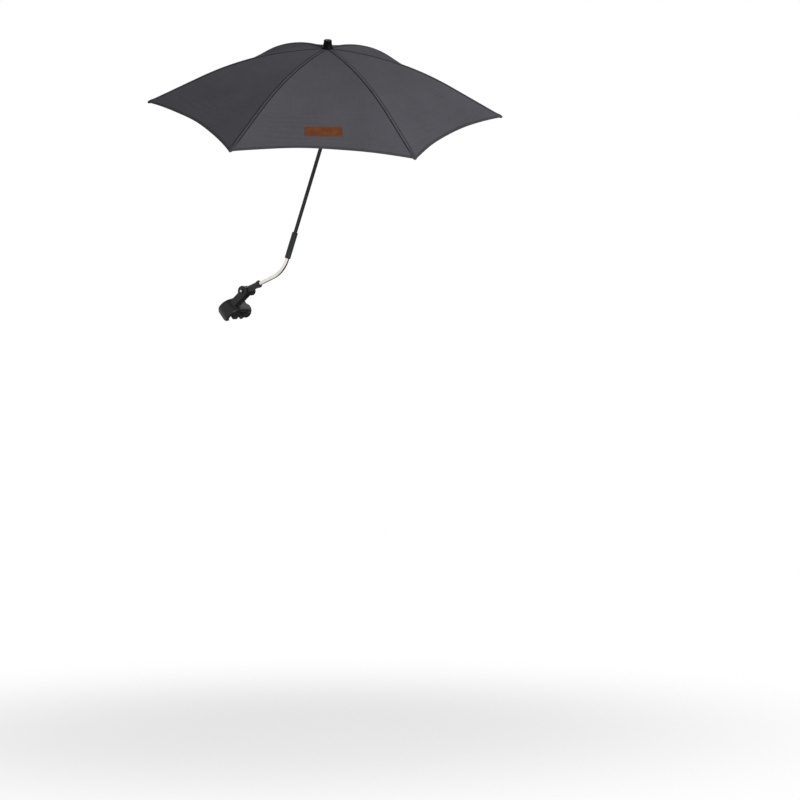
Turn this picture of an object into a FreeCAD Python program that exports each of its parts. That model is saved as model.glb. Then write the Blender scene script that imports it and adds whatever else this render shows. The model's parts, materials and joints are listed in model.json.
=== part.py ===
import FreeCAD, Part
import math
import os

os.makedirs("parts", exist_ok=True)
V = FreeCAD.Vector
Y_AXIS = V(0, 1, 0)
Z_AXIS = V(0, 0, 1)

# Fits shared by all pieces, millimetres and degrees throughout
fit = 0.05              # radial clearance of pins, bolts and sliding rods
gap = 0.3               # clearance between faces that pass each other

# The round tube that the clamp grips, its axis through the origin
tube_r = 13.0
tube_tilt = 39.5        # the tube leans back from the vertical
lining_t = 1.5

# Clamp, with the fixed hook on the left and the screw on the right
clamp_h = 34.0          # along the tube
clamp_wall = 7.0        # behind the tube
hook_wall = 6.0         # outside the fixed jaw
hook_end = 215.0        # angle about the tube where the fixed jaw ends
nub_r = 3.6             # of the bead that ends the fixed jaw
clamp_reach = 10.0      # of the screw's side past the middle of the tube
clamp_round = 4.0
lining_arc = 140.0      # angle that the fixed lining covers
jaw_back = 7.0          # jaw behind its lining
jaw_h = 28.0
jaw_arc = 90.0          # angle that the jaw's lining covers
jaw_opening = 8.0       # travel that lets the tube go
jaw_closing = 4.0       # travel for a thinner tube
block_t = 6.2           # wall that holds the threaded insert
insert_r = 6.5
screw_r = 4.0
screw_tip_r = 3.0
screw_tip_l = 4.0
knob_r = 15.0
knob_t = 13.0
knob_lobes = 14
knob_cut_r = 2.2
knob_round = 1.5
screw_in_knob = 8.0

# Hinge between the clamp and the arm
hinge_out = 54.8        # from the tube's axis
hinge_up = 6.7          # along the tube
ear_r = 11.0
ear_t = 4.8
ear_round = 1.2
ear_neck = 3.5          # top of the ears' neck above the hinge's middle
bolt_r = 3.0
bolt_head_r = 4.6
bolt_head_t = 3.2
eye_r = 9.0
eye_w = 10.0
tilt_knob_r = 9.0
tilt_knob_t = 16.0
tilt_knob_lobes = 6
tilt_cut_r = 2.6
nut_r = 5.5
nut_t = 5.0
nut_depth = 2.0
bolt_in_knob = 12.0

# Arm: socket, bent rod and sleeve
arm_rise = 21.0         # of the socket above the horizontal
socket_r = 6.6
socket_l = 41.5         # from the hinge to the socket's mouth
socket_bore_l = 22.0
socket_lip = 1.2
rod_r = 4.1
rod_straight = 80.5     # from the hinge to the bend
rod_bend_r = 60.0
rod_turn = 48.1
rod_lead = 3.7          # from the bend to the sleeve
set_screw_r = 2.0
set_screw_from_mouth = 10.0
sleeve_r = 6.0
sleeve_l = 55.0
sleeve_rod_l = 24.0     # depth of the rod in the sleeve
sleeve_web = 2.0
sleeve_lip = 0.3

# Pole and its knuckle
pole_r = 3.8
pole_wall = 0.9
pole_l = 263.0          # from the foot of the sleeve to the knuckle's pin
lean_side = -113.2      # side to which the canopy leans, about the pole
bend = 16.5             # at the knuckle
pole_side = 208.2       # side of the canopy to which the pole below the knuckle leans
knuckle_r = 8.0
knuckle_neck = 10.0     # from the pin to the face of each collar
collar_l = 12.5
collar_floor = 2.0
tongue_t = 6.4
cheek_t = 3.0
knuckle_pin_r = 2.0
pin_head_r = 3.2
pin_head_t = 1.0

# Canopy, its apex in the middle of the cloth
neck_l = 183.5          # from the knuckle's pin to the apex
rib_count = 6
crown_slope = 2.9       # of the cloth along a rib at the apex
hem_slope = 28.2        # of the cloth along a rib at the hem
arc_reach = 254.0       # radius where the rib becomes straight
cloth_t = 0.7
cloth_hole = 7.0
cloth_reach = 348.3     # along the ribs
hem_scoop = 0.05        # share of the reach that the hem draws in between ribs
label_w = 73.0
label_h = 25.0
label_t = 1.0
label_from_hem = 51.7   # of the label's middle, along a rib

# Ribs, stretchers, crown and runner
rib_r = 1.4
rib_past_cloth = 5.7    # along the radius
rib_neck_r = 1.25
rib_neck_end = 40.0     # radius where the neck meets the bow
tip_r = 3.6
tip_l = 9.0
pivot_r = 10.0          # radius of the rib pivots in the crown
pivot_depth = 7.5       # of the rib pivots below the apex
pivot_pin_r = 1.0
pivot_eye_r = 2.6
pivot_eye_t = 2.6
pivot_pin_grip = 2.2    # of a pin in the wall on each side of its slot
ear_at = 81.3           # rib radius level with the stretcher's pivot
ear_drop = 7.0          # of that pivot below the middle of the rib
rib_ear_r = 2.4
rib_ear_t = 2.0
rivet_r = 0.9
fork_t = 1.1
fork_l = 9.0
fork_bridge = 3.0
stretcher_r = 1.2
crown_r = 14.0
crown_top = 2.2         # below the apex
crown_skirt = 4.5       # below the pivots
crown_roof = 1.8        # over the slots
boss_r = 5.5
finial_foot = 0.2       # above the apex
finial_h = 16.8
finial_foot_r = 11.0
finial_waist_r = 8.3
finial_skirt_h = 4.0
finial_round = 2.5
stud_l = 9.0            # of the pole in the finial
runner_r = 14.0
runner_hub_r = 6.5
runner_hub_l = 4.0
runner_floor = 1.5
runner_play = 0.4       # radial, on the pole
ring_h = 1.5
ring_t = 0.3

# Sizes that follow from those above
bore_r = tube_r + lining_t
hook_r = bore_r + hook_wall
nub_at = bore_r + gap / 2 + nub_r
jaw_face = bore_r + jaw_back
block_at = jaw_face + jaw_opening + gap
knob_at = block_at + block_t + jaw_closing + gap
ear_in = eye_w / 2 + gap
tilt_knob_at = ear_in + ear_t + gap
wall_in = bore_r + 3 * gap
wall_out = wall_in + clamp_wall
panel = 360.0 / rib_count
profile_r = arc_reach / (math.sin(math.radians(hem_slope)) - math.sin(math.radians(crown_slope)))
rib_depth = cloth_t + gap + rib_r
rib_end = cloth_reach + rib_past_cloth
label_at = cloth_reach - label_from_hem
slot_w = pivot_eye_t + 2 * gap
slot_in = pivot_r - pivot_eye_r - gap


def turn(axis, angle):
    return FreeCAD.Placement(V(), FreeCAD.Rotation(axis, angle))


def shift(x, y, z):
    return FreeCAD.Placement(V(x, y, z), FreeCAD.Rotation())


# Frames of the chain from the clamp to the canopy
rod_out = rod_straight + rod_bend_r * math.sin(math.radians(rod_turn))
rod_up = rod_bend_r * (1 - math.cos(math.radians(rod_turn)))
lead_out = rod_lead * math.cos(math.radians(rod_turn))
lead_up = rod_lead * math.sin(math.radians(rod_turn))
clamp_frame = turn(Y_AXIS, -tube_tilt)
arm_frame = clamp_frame * shift(hinge_out, 0, hinge_up) * turn(Y_AXIS, tube_tilt - arm_rise)
pole_frame = arm_frame * shift(rod_out + lead_out, 0, rod_up + lead_up) * turn(Y_AXIS, 90 - rod_turn)
knuckle_frame = pole_frame * shift(0, 0, pole_l) * turn(Z_AXIS, lean_side)
neck_frame = knuckle_frame * turn(Y_AXIS, bend)
canopy_frame = neck_frame * shift(0, 0, neck_l) * turn(Z_AXIS, -pole_side)


def save(name, shape, frame):
    shape = shape.copy()
    shape.Placement = frame * shape.Placement
    shape.exportStep("parts/%s.step" % name)


def rod(radius, start, end):
    return Part.makeCylinder(radius, (end - start).Length, start, end - start)


def block(x0, x1, y0, y1, z0, z1):
    return Part.makeBox(x1 - x0, y1 - y0, z1 - z0, V(x0, y0, z0))


def across(radius, y0, y1, x=0.0, z=0.0):
    return rod(radius, V(x, y0, z), V(x, y1, z))


def upright(radius, z0, z1):
    return rod(radius, V(0, 0, z0), V(0, 0, z1))


def fused(shapes):
    return shapes[0].multiFuse(shapes[1:]).removeSplitter()


def revolved(points):
    wire = Part.makePolygon([V(r, 0, z) for r, z in points + points[:1]])
    return Part.Face(wire).revolve(V(), Z_AXIS, 360)


def rounded(shape, radius, wanted):
    edges = [edge for edge in shape.Edges if wanted(edge)]
    return shape.makeFillet(radius, edges)


def is_circle(edge, radius):
    return isinstance(edge.Curve, Part.Circle) and abs(edge.Curve.Radius - radius) < 1e-6


def lobed_knob(radius, y0, thickness, lobes, cut_r, edge_r):
    knob = across(radius, y0, y0 + thickness)
    knob = rounded(knob, edge_r, lambda edge: is_circle(edge, radius))
    for lobe in range(lobes):
        angle = 2 * math.pi * lobe / lobes
        centre = radius + cut_r * 0.6
        knob = knob.cut(across(cut_r, y0 - 1, y0 + thickness + 1,
                               centre * math.cos(angle), centre * math.sin(angle)))
    return knob


def arc_strip(inner, outer, height, middle, spread):
    strip = Part.makeCylinder(outer, height, V(0, 0, -height / 2), Z_AXIS, spread)
    strip = strip.cut(upright(inner, -height, height))
    strip.rotate(V(), Z_AXIS, middle - spread / 2)
    return strip


def clamp_pieces():
    half = clamp_h / 2
    hook = rounded(upright(hook_r, -half, half), clamp_round, lambda edge: is_circle(edge, hook_r))
    opening = Part.makeCylinder(hook_r + 1, clamp_h + 2, V(0, 0, -half - 1), Z_AXIS, hook_end - 90)
    opening.rotate(V(), Z_AXIS, 90)
    nub = rounded(upright(nub_r, -half + clamp_round, half - clamp_round), nub_r / 2,
                  lambda edge: is_circle(edge, nub_r))
    nub.translate(V(math.cos(math.radians(hook_end)), math.sin(math.radians(hook_end)), 0) * nub_at)
    frame = block(-clamp_reach, wall_out, 0, block_at + block_t, -half, half)
    frame = frame.makeFillet(clamp_round, [edge for edge in frame.Edges if edge.BoundBox.YMax > gap])
    body = fused([hook.cut(opening), frame, nub])
    body = body.cut(upright(bore_r, -half - 1, half + 1))
    body = body.cut(block(-clamp_reach - 1, wall_in, 0, block_at, -half - 1, half + 1))
    ears = []
    for side in (-1, 1):
        y0, y1 = sorted((side * ear_in, side * (ear_in + ear_t)))
        ear = across(ear_r, y0, y1, hinge_out, hinge_up)
        ears.append(rounded(ear, ear_round, lambda edge: abs(edge.CenterOfMass.y) > ear_in + ear_t / 2))
        ears.append(block(wall_in, hinge_out, y0, y1, hinge_up - ear_r, hinge_up + ear_neck))
    body = fused([body] + ears)
    body = body.cut(across(bolt_r + fit, -ear_in - ear_t - 1, ear_in + ear_t + 1, hinge_out, hinge_up))
    body = body.cut(across(insert_r, block_at - 1, block_at + block_t + 1))
    save("clamp_body", body, clamp_frame)
    save("clamp_lining", arc_strip(tube_r, bore_r, clamp_h, 270, lining_arc), clamp_frame)
    insert = across(insert_r, block_at, block_at + block_t)
    insert = insert.cut(across(screw_r + fit, block_at - 1, block_at + block_t + 1))
    save("clamp_insert", insert, clamp_frame)
    head_at = -ear_in - ear_t
    bolt = across(bolt_r, head_at, tilt_knob_at + bolt_in_knob)
    head = across(bolt_head_r, head_at - bolt_head_t, head_at)
    face_at = head_at - bolt_head_t / 2
    head = rounded(head, bolt_head_t * 0.6,
                   lambda edge: is_circle(edge, bolt_head_r) and edge.Curve.Center.y < face_at)
    save("tilt_bolt", bolt.fuse(head), clamp_frame * shift(hinge_out, 0, hinge_up))


def jaw_pieces():
    half = jaw_h / 2
    jaw = block(-clamp_reach - clamp_round / 2, wall_in - gap, jaw_closing + gap, jaw_face, -half, half)
    jaw = jaw.cut(upright(bore_r, -half - 1, half + 1))
    jaw = jaw.cut(across(screw_tip_r + fit, jaw_face - screw_tip_l - gap, jaw_face + 1))
    save("jaw_pad", jaw, clamp_frame)
    save("jaw_lining", arc_strip(tube_r, bore_r, jaw_h, 90, jaw_arc), clamp_frame)
    screw = across(screw_r, jaw_face + gap, knob_at + screw_in_knob)
    screw = screw.fuse(across(screw_tip_r, jaw_face - screw_tip_l, jaw_face + gap))
    save("clamp_screw", screw, clamp_frame)
    knob = lobed_knob(knob_r, knob_at, knob_t, knob_lobes, knob_cut_r, knob_round)
    knob = knob.cut(across(screw_r, knob_at - 1, knob_at + screw_in_knob))
    save("clamp_knob", knob, clamp_frame)


def tilt_knob_pieces():
    frame = clamp_frame * shift(hinge_out, 0, hinge_up)
    knob = lobed_knob(tilt_knob_r, tilt_knob_at, tilt_knob_t, tilt_knob_lobes, tilt_cut_r, knob_round)
    knob = knob.cut(across(bolt_r + gap, tilt_knob_at - 1, tilt_knob_at + bolt_in_knob + gap))
    nut_at = tilt_knob_at + nut_depth
    seat = Part.Face(Part.makePolygon([V(nut_r * math.cos(math.radians(60 * i)), nut_at,
                                         nut_r * math.sin(math.radians(60 * i))) for i in range(7)]))
    nut = seat.extrude(V(0, nut_t, 0))
    knob = knob.cut(nut)
    save("tilt_knob", knob, frame)
    save("tilt_nut", nut.cut(across(bolt_r + fit, nut_at - 1, nut_at + nut_t + 1)), frame)


def arm_pieces():
    bore_at = socket_l - socket_bore_l
    neck_at = ear_r + gap
    socket = across(eye_r, -eye_w / 2, eye_w / 2)
    socket = fused([socket, rod(socket_r, V(neck_at, 0, 0), V(socket_l, 0, 0)),
                    block(0, neck_at + socket_r / 2, -eye_w / 2, eye_w / 2, -socket_r / 2, socket_r / 2),
                    rod(socket_r + socket_lip, V(socket_l - 3 * socket_lip, 0, 0), V(socket_l, 0, 0))])
    socket = socket.cut(across(bolt_r + fit, -eye_w, eye_w))
    socket = socket.cut(rod(rod_r + fit, V(bore_at, 0, 0), V(socket_l + 1, 0, 0)))
    screw_at = socket_l - set_screw_from_mouth
    socket = socket.cut(rod(set_screw_r + fit, V(screw_at, 0, -socket_r - 1), V(screw_at, 0, 0)))
    save("arm_socket", socket, arm_frame)
    save("arm_set_screw", rod(set_screw_r, V(screw_at, 0, -socket_r), V(screw_at, 0, -rod_r)), arm_frame)

    start = V(bore_at, 0, 0)
    corner = V(rod_straight, 0, 0)
    straight = rod(rod_r, start, corner)
    section = Part.Face(Part.Wire(Part.makeCircle(rod_r, corner, V(1, 0, 0))))
    elbow = section.revolve(V(rod_straight, 0, rod_bend_r), V(0, -1, 0), rod_turn)
    turned = math.radians(rod_turn)
    bend_end = V(rod_out, 0, rod_up)
    along = V(math.cos(turned), 0, math.sin(turned))
    tail = rod(rod_r, bend_end, bend_end + along * (rod_lead + sleeve_rod_l))
    save("arm_rod", fused([straight, elbow, tail]), arm_frame)

    sleeve = fused([upright(sleeve_r, 0, sleeve_l),
                    upright(sleeve_r + sleeve_lip, sleeve_l - 4 * sleeve_lip, sleeve_l),
                    upright(sleeve_r + sleeve_lip, 0, 4 * sleeve_lip)])
    sleeve = sleeve.cut(upright(rod_r + fit, -1, sleeve_rod_l))
    sleeve = sleeve.cut(upright(pole_r + fit, sleeve_rod_l + sleeve_web, sleeve_l + 1))
    save("arm_sleeve", sleeve, pole_frame)


def tube(z0, z1):
    return upright(pole_r, z0, z1).cut(upright(pole_r - pole_wall, z0 - 1, z1 + 1))


def collar(sign):
    shell = upright(knuckle_r, knuckle_neck, knuckle_neck + collar_l)
    shell = shell.cut(upright(pole_r, knuckle_neck + collar_floor, knuckle_neck + collar_l + 1))
    return shell if sign > 0 else shell.mirror(V(), Z_AXIS)


def knuckle_plate(y0, y1, sign):
    z0, z1 = sorted((0, sign * (knuckle_neck + collar_floor)))
    plate = across(knuckle_r, y0, y1).fuse(block(-knuckle_r, knuckle_r, y0, y1, z0, z1))
    return plate.common(upright(knuckle_r, -knuckle_neck - collar_l, knuckle_neck + collar_l))


def knuckle_pieces():
    pole_top = pole_l - knuckle_neck - collar_floor
    save("lower_pole", tube(sleeve_rod_l + sleeve_web + gap, pole_top), pole_frame)
    inner = tongue_t / 2 + gap
    outer = inner + cheek_t
    hole = across(knuckle_pin_r + fit, -outer - 1, outer + 1)
    fork = fused([collar(-1), knuckle_plate(-outer, -inner, -1), knuckle_plate(inner, outer, -1)])
    save("knuckle_fork", fork.cut(hole), knuckle_frame)
    pin = fused([across(knuckle_pin_r, -outer, outer), across(pin_head_r, outer, outer + pin_head_t),
                 across(pin_head_r, -outer - pin_head_t, -outer)])
    save("knuckle_pin", pin, knuckle_frame)
    tongue = fused([collar(1), knuckle_plate(-tongue_t / 2, tongue_t / 2, 1)])
    save("knuckle_tongue", tongue.cut(hole), neck_frame)
    foot = knuckle_neck + collar_floor
    save("upper_pole", tube(foot, neck_l + finial_foot + stud_l), neck_frame)


def cloth_drop(radius):
    slope = math.sin(math.radians(crown_slope)) + min(radius, arc_reach) / profile_r
    fall = profile_r * (math.cos(math.radians(crown_slope)) - math.sqrt(1 - slope * slope))
    return fall + max(radius - arc_reach, 0) * math.tan(math.radians(hem_slope))


def rib_point(radius, below=0.0):
    return V(radius, 0, -cloth_drop(radius) - rib_depth - below)


def arc_angle(radius):
    return math.asin(math.sin(math.radians(crown_slope)) + radius / profile_r)


rib_pivot = V(pivot_r, 0, -pivot_depth)
rib_ear = rib_point(ear_at, ear_drop)
runner_pivot = V(pivot_r, 0, 2 * rib_ear.z - rib_pivot.z)


def eye(centre, radius, thickness):
    return across(radius, -thickness / 2, thickness / 2, centre.x, centre.z)


def pin_hole(centre, radius):
    return across(radius, -crown_r, crown_r, centre.x, centre.z)


def rib_shape():
    start = rib_point(rib_neck_end)
    angle = arc_angle(rib_neck_end)
    centre = start - V(math.sin(angle), 0, math.cos(angle)) * profile_r
    section = Part.Face(Part.Wire(Part.makeCircle(rib_r, start, V(math.cos(angle), 0, -math.sin(angle)))))
    bow = section.revolve(centre, Y_AXIS, hem_slope - math.degrees(angle))
    neck = start - rib_pivot
    pieces = [rod(rib_neck_r, rib_pivot, rib_pivot + neck * (1 + rib_neck_r / 2 / neck.Length)), bow,
              rod(rib_r, rib_point(arc_reach), rib_point(rib_end)),
              eye(rib_pivot, pivot_eye_r, pivot_eye_t), eye(rib_ear, rib_ear_r, rib_ear_t),
              block(ear_at - rib_ear_r, ear_at + rib_ear_r, -rib_ear_t / 2, rib_ear_t / 2,
                    rib_ear.z, rib_point(ear_at).z)]
    rib = fused(pieces)
    return rib.cut(pin_hole(rib_pivot, pivot_pin_r + fit)).cut(pin_hole(rib_ear, rivet_r))


def tip_shape():
    end = rib_point(rib_end)
    along = V(math.cos(math.radians(hem_slope)), 0, -math.sin(math.radians(hem_slope)))
    start = end - along * (tip_l - tip_r)
    tip = rod(tip_r, start, end).fuse(Part.makeSphere(tip_r, end)).removeSplitter()
    return tip.cut(rod(rib_r, start - along, end))


def stretcher_shape():
    along = runner_pivot - rib_ear
    length = along.Length
    inner = rib_ear_t / 2 + gap
    outer = inner + fork_t
    pieces = []
    for side in (-1, 1):
        y0, y1 = sorted((side * inner, side * outer))
        pieces.append(across(rib_ear_r, y0, y1))
        pieces.append(block(0, fork_l, y0, y1, -rib_ear_r, rib_ear_r))
    pieces.append(block(fork_l - fork_bridge, fork_l, -outer, outer, -rib_ear_r, rib_ear_r))
    pieces.append(rod(stretcher_r, V(fork_l - fork_bridge, 0, 0), V(length, 0, 0)))
    pieces.append(across(pivot_eye_r, -pivot_eye_t / 2, pivot_eye_t / 2, length))
    shape = fused(pieces)
    shape = shape.cut(across(rivet_r + fit, -crown_r, crown_r))
    shape = shape.cut(across(pivot_pin_r + fit, -crown_r, crown_r, length))
    fall = -math.degrees(math.atan2(along.z, along.x))
    shape.Placement = FreeCAD.Placement(rib_ear, FreeCAD.Rotation(Y_AXIS, fall))
    return shape


def rivet_shape():
    reach = rib_ear_t / 2 + gap + fork_t
    return across(rivet_r, -reach, reach, rib_ear.x, rib_ear.z)


def cloth_section():
    lift = V(0, 0, -cloth_t)
    inner, outer = V(cloth_hole, 0, -cloth_drop(cloth_hole)), V(cloth_reach, 0, -cloth_drop(cloth_reach))
    knee, crest = V(arc_reach, 0, -cloth_drop(arc_reach)), V(arc_reach / 2, 0, -cloth_drop(arc_reach / 2))
    top = [Part.Arc(inner, crest, knee).toShape(), Part.LineSegment(knee, outer).toShape()]
    end = Part.LineSegment(outer, outer + lift).toShape()
    under = [Part.LineSegment(outer + lift, knee + lift).toShape(),
             Part.Arc(knee + lift, crest + lift, inner + lift).toShape()]
    return Part.Face(Part.Wire(top + [end] + under + [Part.LineSegment(inner + lift, inner).toShape()]))


def panel_outline(side):
    middle, far = math.radians(panel / 2), math.radians(panel)
    corner = V(cloth_reach, 0, 0)
    scoop = cloth_reach * math.cos(middle) * (1 - hem_scoop)
    dip = V(scoop * math.cos(middle), side * scoop * math.sin(middle), 0)
    other = V(cloth_reach * math.cos(far), side * cloth_reach * math.sin(far), 0)
    edges = [Part.LineSegment(V(), corner), Part.Arc(corner, dip, other), Part.LineSegment(other, V())]
    return Part.Face(Part.Wire([edge.toShape() for edge in edges]))


def half_gore(side):
    chord = V(-math.sin(math.radians(panel / 2)), side * math.cos(math.radians(panel / 2)), 0)
    sheet = cloth_section().extrude(chord * cloth_reach)
    outline = panel_outline(side)
    outline.translate(V(0, 0, -cloth_reach))
    sheet = sheet.common(outline.extrude(V(0, 0, 2 * cloth_reach)))
    beyond = block(0, cloth_reach, 0, cloth_reach, -cloth_reach, cloth_reach)
    beyond.translate(V(0, -gap / 2, 0))
    beyond.rotate(V(), Z_AXIS, panel / 2)
    if side < 0:
        beyond = beyond.mirror(V(), Y_AXIS)
    return sheet.cut(beyond)


def gore_shape():
    return half_gore(1).fuse(half_gore(-1)).removeSplitter()


def around(shape):
    copies = []
    for k in range(rib_count):
        copy = shape.copy()
        copy.rotate(V(), Z_AXIS, panel * k)
        copies.append(copy)
    return copies


def slotted(hub, pivot, z0, z1, pin_reach):
    slot = block(slot_in, crown_r + runner_r, -slot_w / 2, slot_w / 2, z0, z1)
    hole = across(pivot_pin_r, -pin_reach, pin_reach, pivot.x, pivot.z)
    for cutter in around(slot) + around(hole):
        hub = hub.cut(cutter)
    return hub


def hub_pieces():
    pin_reach = slot_w / 2 + pivot_pin_grip
    pin_at_crown = across(pivot_pin_r, -pin_reach, pin_reach, rib_pivot.x, rib_pivot.z)
    crown = upright(crown_r, rib_pivot.z - crown_skirt, -crown_top)
    crown = crown.fuse(upright(boss_r, -crown_top, finial_foot))
    crown = crown.cut(upright(pole_r, -neck_l, neck_l))
    crown = slotted(crown, rib_pivot, rib_pivot.z - crown_skirt - 1, -crown_top - crown_roof, pin_reach)
    save("crown", crown, canopy_frame)
    save("crown_pins", Part.makeCompound(around(pin_at_crown)), canopy_frame)

    pin_at_runner = across(pivot_pin_r, -pin_reach, pin_reach, runner_pivot.x, runner_pivot.z)
    low = runner_pivot.z - pivot_eye_r - gap - runner_floor
    high = runner_pivot.z + pivot_eye_r
    runner = upright(runner_r, low, high).fuse(upright(runner_hub_r, low - runner_hub_l, low))
    runner = runner.cut(upright(pole_r + runner_play, -neck_l, neck_l))
    runner = slotted(runner, runner_pivot, low + runner_floor, high + 1, pin_reach)
    save("runner", runner, canopy_frame)
    save("runner_pins", Part.makeCompound(around(pin_at_runner)), canopy_frame)
    ring_top = low - runner_hub_l - gap
    ring = upright(pole_r + ring_t, ring_top - ring_h, ring_top).cut(upright(pole_r, -neck_l, neck_l))
    save("snap_ring", ring, canopy_frame)


def finial_piece():
    top = finial_foot + finial_h
    skirt = finial_foot + finial_skirt_h
    edge = finial_foot + (finial_foot_r - finial_waist_r) / 2
    finial = revolved([(0, finial_foot), (finial_foot_r, finial_foot), (finial_foot_r, edge),
                       (finial_waist_r, skirt + edge), (finial_waist_r, top), (0, top)])
    finial = rounded(finial, finial_round,
                     lambda rim: is_circle(rim, finial_waist_r) and rim.Curve.Center.z > top - finial_round)
    finial = finial.cut(upright(pole_r, finial_foot - 1, finial_foot + stud_l))
    save("finial", finial, canopy_frame)


def label_piece():
    middle = V(label_at * math.cos(math.radians(panel / 2)), 0, -cloth_drop(label_at))
    pitch = math.atan(math.tan(math.radians(hem_slope)) / math.cos(math.radians(panel / 2)))
    label = block(-label_h / 2, label_h / 2, -label_w / 2, label_w / 2, gap, gap + label_t)
    seat = FreeCAD.Placement(middle, FreeCAD.Rotation(Y_AXIS, math.degrees(pitch)))
    save("leather_label", label, canopy_frame * turn(Z_AXIS, 4.5 * panel) * seat)


def rib_pieces():
    shapes = {"rib": rib_shape(), "rib_tip": tip_shape(), "rib_rivet": rivet_shape(),
              "stretcher": stretcher_shape(), "canopy_gore": gore_shape()}
    for k in range(rib_count):
        frame = canopy_frame * turn(Z_AXIS, panel * k)
        for name, shape in shapes.items():
            save("%s_%d" % (name, k + 1), shape, frame)


clamp_pieces()
jaw_pieces()
tilt_knob_pieces()
arm_pieces()
knuckle_pieces()
hub_pieces()
finial_piece()
rib_pieces()
label_piece()
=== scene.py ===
import bpy
import json
import math
from mathutils import Matrix, Vector


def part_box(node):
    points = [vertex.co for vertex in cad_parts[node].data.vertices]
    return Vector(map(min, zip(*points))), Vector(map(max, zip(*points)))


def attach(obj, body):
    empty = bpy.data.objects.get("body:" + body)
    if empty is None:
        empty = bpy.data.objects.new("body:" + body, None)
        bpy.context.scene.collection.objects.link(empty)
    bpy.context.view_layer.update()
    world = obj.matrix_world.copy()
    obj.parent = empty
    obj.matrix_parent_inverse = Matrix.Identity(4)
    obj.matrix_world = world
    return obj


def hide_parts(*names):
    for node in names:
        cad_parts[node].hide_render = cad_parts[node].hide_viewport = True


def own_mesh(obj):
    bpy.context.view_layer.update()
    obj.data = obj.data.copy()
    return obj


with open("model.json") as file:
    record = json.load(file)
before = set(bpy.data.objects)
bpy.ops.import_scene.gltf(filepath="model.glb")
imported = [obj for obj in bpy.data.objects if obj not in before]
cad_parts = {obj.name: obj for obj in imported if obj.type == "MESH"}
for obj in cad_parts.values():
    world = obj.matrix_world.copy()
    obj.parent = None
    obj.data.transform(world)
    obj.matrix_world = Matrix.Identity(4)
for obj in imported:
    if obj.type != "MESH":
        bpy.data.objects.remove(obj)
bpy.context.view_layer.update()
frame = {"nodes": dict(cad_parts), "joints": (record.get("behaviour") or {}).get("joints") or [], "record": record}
nodes = frame["nodes"]
joints = {joint["name"]: joint for joint in frame["joints"]}
bodies = frame["record"]["behaviour"]["bodies"]
bodyOf = {node: body for body, members in bodies.items() for node in members}
print("frame loaded:", len(nodes), "nodes")


# Helpers for meshes and operators

smoothAngle = {"cloth": 40, "tape": 50, "thread": 60, "turned": 40, "moulded": 32}    # degrees


def deselectAll():
    bpy.ops.object.select_all(action="DESELECT")


def makeActive(piece):
    deselectAll()
    piece.select_set(True)
    bpy.context.view_layer.objects.active = piece


def addToScene(name, data):
    thing = bpy.data.objects.new(name, data)
    bpy.context.scene.collection.objects.link(thing)
    return thing


def meshPiece(name, points, faces, uvs=None):
    mesh = bpy.data.meshes.new(name)
    mesh.from_pydata([tuple(point) for point in points], [], faces)
    if uvs:
        layer = mesh.uv_layers.new(name="clothUv")
        for loop in mesh.loops:
            layer.data[loop.index].uv = uvs[loop.vertex_index]
    mesh.update()
    return addToScene(name, mesh)


def gridFaces(rows, columns, closed=False):
    faces = []
    for i in range(rows - 1):
        for j in range(columns if closed else columns - 1):
            a, b = i * columns + j, i * columns + (j + 1) % columns
            faces.append((a, b, b + columns, a + columns))
    return faces


def outwards(piece):
    makeActive(piece)
    bpy.ops.object.mode_set(mode="EDIT")
    bpy.ops.mesh.select_all(action="SELECT")
    bpy.ops.mesh.normals_make_consistent(inside=False)
    bpy.ops.object.mode_set(mode="OBJECT")


def closedTube(name, points, size, uvs):
    # rings of equal size joined into a tube, with a face at both ends
    rings = len(points) // size
    faces = gridFaces(rings, size, closed=True)
    faces += [tuple(range(size))[::-1], tuple(range((rings - 1) * size, rings * size))]
    piece = meshPiece(name, points, faces, uvs)
    outwards(piece)
    return piece


def applyModifier(piece, kind, **settings):
    makeActive(piece)
    modifier = piece.modifiers.new(kind.title(), kind)
    for key, value in settings.items():
        setattr(modifier, key, value)
    bpy.ops.object.modifier_apply(modifier=modifier.name)


def smoothPiece(piece, kind):
    makeActive(piece)
    bpy.ops.object.shade_smooth_by_angle(angle=math.radians(smoothAngle[kind]))


def joinPieces(pieces, name):
    deselectAll()
    for piece in pieces:
        piece.select_set(True)
    bpy.context.view_layer.objects.active = pieces[0]
    bpy.ops.object.join()
    pieces[0].name = name
    pieces[0].data.name = name
    return pieces[0]


def finishWith(piece, material):
    piece.data.materials.clear()
    piece.data.materials.append(material)


def smoothStep(low, high, value):
    t = min(max((value - low) / (high - low), 0), 1)
    return t * t * (3 - 2 * t)


# Shader groups shared by the finishes

noiseBand = (0.3, 0.7)    # most of a noise lies between these


def addNode(tree, kind, inputs=None, **settings):
    node = tree.nodes.new(kind)
    for key, value in settings.items():
        setattr(node, key, value)
    for key, value in (inputs or {}).items():
        if isinstance(value, bpy.types.NodeSocket):
            tree.links.new(value, node.inputs[key])
        else:
            node.inputs[key].default_value = value
    return node


def addMath(tree, operation, a, b=0.0):
    return addNode(tree, "ShaderNodeMath", {0: a, 1: b}, operation=operation).outputs[0]


def remap(tree, value, band, span=(0.0, 1.0)):
    limits = {"From Min": band[0], "From Max": band[1], "To Min": span[0], "To Max": span[1]}
    return addNode(tree, "ShaderNodeMapRange", {"Value": value, **limits}).outputs["Result"]


def mixColour(tree, factor, a, b):
    # sockets 6 and 7 are the colours to mix
    return addNode(tree, "ShaderNodeMix", {0: factor, 6: a, 7: b}, data_type="RGBA").outputs[2]


def noise(tree, vector, scale, detail, rough=0.55):
    inputs = {"Vector": vector, "Scale": scale, "Detail": detail, "Roughness": rough}
    return addNode(tree, "ShaderNodeTexNoise", inputs).outputs["Fac"]


def shaded(colour, factor=1.0):
    return [part * factor for part in colour] + [1]


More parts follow.
